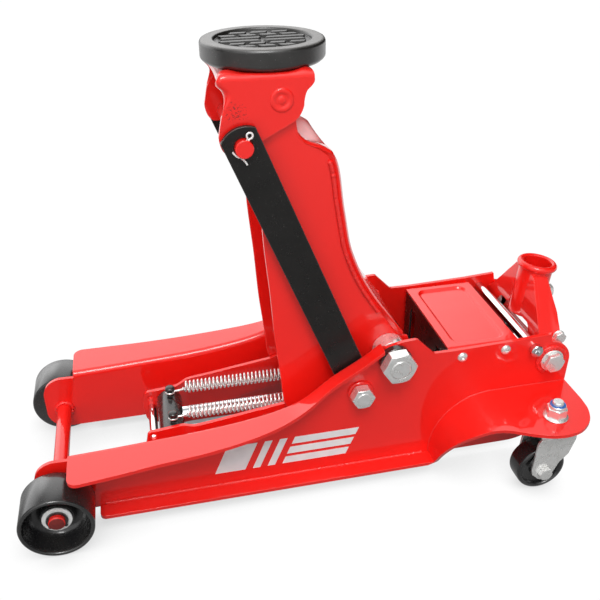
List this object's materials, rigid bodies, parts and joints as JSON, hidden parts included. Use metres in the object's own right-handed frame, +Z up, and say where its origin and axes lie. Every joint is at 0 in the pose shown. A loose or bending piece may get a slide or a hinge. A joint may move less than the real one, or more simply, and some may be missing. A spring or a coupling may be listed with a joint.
{
  "type": "hydraulic floor jack",
  "caption": "Low trolley jack: wheeled steel frame, hydraulic ram and pivoting lift arm that raises a level round saddle; a socket at the rear takes the pump handle.",
  "frame": {"origin": "on the floor, under the middle of the jack's length and width", "axes": "+X along the jack from the front wheels to the handle socket, +Z up, left side at -Y"},
  "size_m": [0.5984, 0.317, 0.4552],
  "materials": {
    "red_paint": "gloss red powder coat",
    "black_wheel": "gloss black paint on cast wheels",
    "black_paint": "satin black paint",
    "black_steel": "black oxide, oiled",
    "zinc": "bright zinc plating",
    "chrome": "ground and hard chromed",
    "rubber": "matt moulded rubber"
  },
  "bodies": {
    "chassis": {"axle_clip_left": "black_steel", "axle_clip_right": "black_steel", "axle_washer_left": "zinc", "axle_washer_right": "zinc", "caster_kingpin_left": "zinc", "caster_kingpin_right": "zinc", "cover_plate": "red_paint", "cover_screw_front_left": "zinc", "cover_screw_front_right": "zinc", "cover_screw_rear_left": "zinc", "cover_screw_rear_right": "zinc", "foot_rail_left": "red_paint", "foot_rail_right": "red_paint", "front_axle": "red_paint", "link_pivot_bolt_left": "zinc", "link_pivot_bolt_right": "zinc", "main_pivot_nut_left": "zinc", "main_pivot_nut_right": "zinc", "main_pivot_shaft": "zinc", "power_unit": "black_paint", "ram_cylinder": "black_paint", "rear_tie_rod": "chrome", "return_spring_left": "zinc", "return_spring_right": "zinc", "side_plate_left": "red_paint", "side_plate_right": "red_paint", "socket_bolt_left": "zinc", "socket_bolt_right": "zinc", "tie_rod_screw_left": "zinc", "tie_rod_screw_right": "zinc"},
    "lift_arm": {"arm_plate_left": "red_paint", "arm_plate_right": "red_paint", "arm_top_plate": "red_paint", "arm_hub": "red_paint"},
    "parallel_links": {"link_bar_left": "black_paint", "link_bar_right": "black_paint"},
    "bracket": {"saddle_bracket": "red_paint", "saddle_pivot_pin": "red_paint", "link_pin": "red_paint", "cotter_pin_left": "zinc", "cotter_pin_right": "zinc"},
    "saddle_body": {"saddle": "rubber"},
    "ram": {"ram_rod": "chrome", "crosshead": "black_steel"},
    "pull_links": {"pull_link_left": "red_paint", "pull_link_right": "red_paint", "front_tie_pin": "chrome"},
    "front_wheel_body_left": {"front_wheel_left": "black_wheel"},
    "front_wheel_body_right": {"front_wheel_right": "black_wheel"},
    "caster_body_left": {"caster_fork_left": "zinc", "caster_axle_left": "zinc"},
    "caster_body_right": {"caster_fork_right": "zinc", "caster_axle_right": "zinc"},
    "caster_wheel_body_left": {"caster_wheel_left": "black_wheel"},
    "caster_wheel_body_right": {"caster_wheel_right": "black_wheel"},
    "socket": {"handle_socket": "red_paint", "handle_clamp_screw": "zinc"},
    "plunger": {"pump_plunger": "chrome"},
    "valve": {"release_valve": "black_steel"}
  },
  "joints": [
    {"name": "arm_lift", "type": "hinge", "parent": "chassis", "child": "lift_arm", "pos_m": [0.0858, 0, 0.147], "axis": [0, 1, 0], "range_deg": [-86, 0]},
    {"name": "link_swing", "type": "hinge", "parent": "chassis", "child": "parallel_links", "pos_m": [0.0508, 0, 0.111], "axis": [0, 1, 0], "range_deg": [-86, 0]},
    {"name": "saddle_level", "type": "hinge", "parent": "lift_arm", "child": "bracket", "pos_m": [-0.0227, 0, 0.414], "axis": [0, 1, 0], "range_deg": [0, 86]},
    {"name": "saddle_spin", "type": "hinge", "parent": "bracket", "child": "saddle_body", "pos_m": [-0.0282, 0, 0.4385], "axis": [0, 0, 1], "continuous": true},
    {"name": "ram_slide", "type": "slide", "parent": "chassis", "child": "ram", "axis": [-1, 0, 0], "range_m": [-0.10575, 0], "deforming": ["return_spring_left", "return_spring_right"]},
    {"name": "pull_link_pivot", "type": "hinge", "parent": "ram", "child": "pull_links", "pos_m": [-0.1432, 0, 0.056], "axis": [0, 1, 0], "range_deg": [0, 4.51]},
    {"name": "front_wheel_spin_left", "type": "hinge", "parent": "chassis", "child": "front_wheel_body_left", "pos_m": [-0.2632, -0.099, 0.036], "axis": [0, 1, 0], "continuous": true},
    {"name": "front_wheel_spin_right", "type": "hinge", "parent": "chassis", "child": "front_wheel_body_right", "pos_m": [-0.2632, 0.099, 0.036], "axis": [0, 1, 0], "continuous": true},
    {"name": "caster_swivel_left", "type": "hinge", "parent": "chassis", "child": "caster_body_left", "pos_m": [0.2458, -0.129, 0.078], "axis": [0, 0, 1], "continuous": true},
    {"name": "caster_swivel_right", "type": "hinge", "parent": "chassis", "child": "caster_body_right", "pos_m": [0.2458, 0.129, 0.078], "axis": [0, 0, 1], "continuous": true},
    {"name": "caster_roll_left", "type": "hinge", "parent": "caster_body_left", "child": "caster_wheel_body_left", "pos_m": [0.2343, -0.129, 0.027], "axis": [0, 1, 0], "continuous": true},
    {"name": "caster_roll_right", "type": "hinge", "parent": "caster_body_right", "child": "caster_wheel_body_right", "pos_m": [0.2343, 0.129, 0.027], "axis": [0, 1, 0], "continuous": true},
    {"name": "socket_pump", "type": "hinge", "parent": "chassis", "child": "socket", "pos_m": [0.2658, 0, 0.118], "axis": [0, 1, 0], "range_deg": [0, 60]},
    {"name": "plunger_slide", "type": "slide", "parent": "chassis", "child": "plunger", "axis": [-1, 0, 0], "range_m": [0, 0.0202]},
    {"name": "release_turn", "type": "hinge", "parent": "chassis", "child": "valve", "pos_m": [0.2418, 0, 0.118], "axis": [1, 0, 0], "range_deg": [0, 90]}
  ],
  "couplings": [
    {"joint": "link_swing", "follows": "arm_lift", "ratio": 1},
    {"joint": "saddle_level", "follows": "arm_lift", "ratio": -1},
    {"joint": "ram_slide", "follows": "arm_lift", "m_per_rad": 0.07043},
    {"joint": "pull_link_pivot", "follows": "arm_lift", "ratio": -0.05239},
    {"joint": "plunger_slide", "follows": "socket_pump", "m_per_rad": 0.0189}
  ]
}
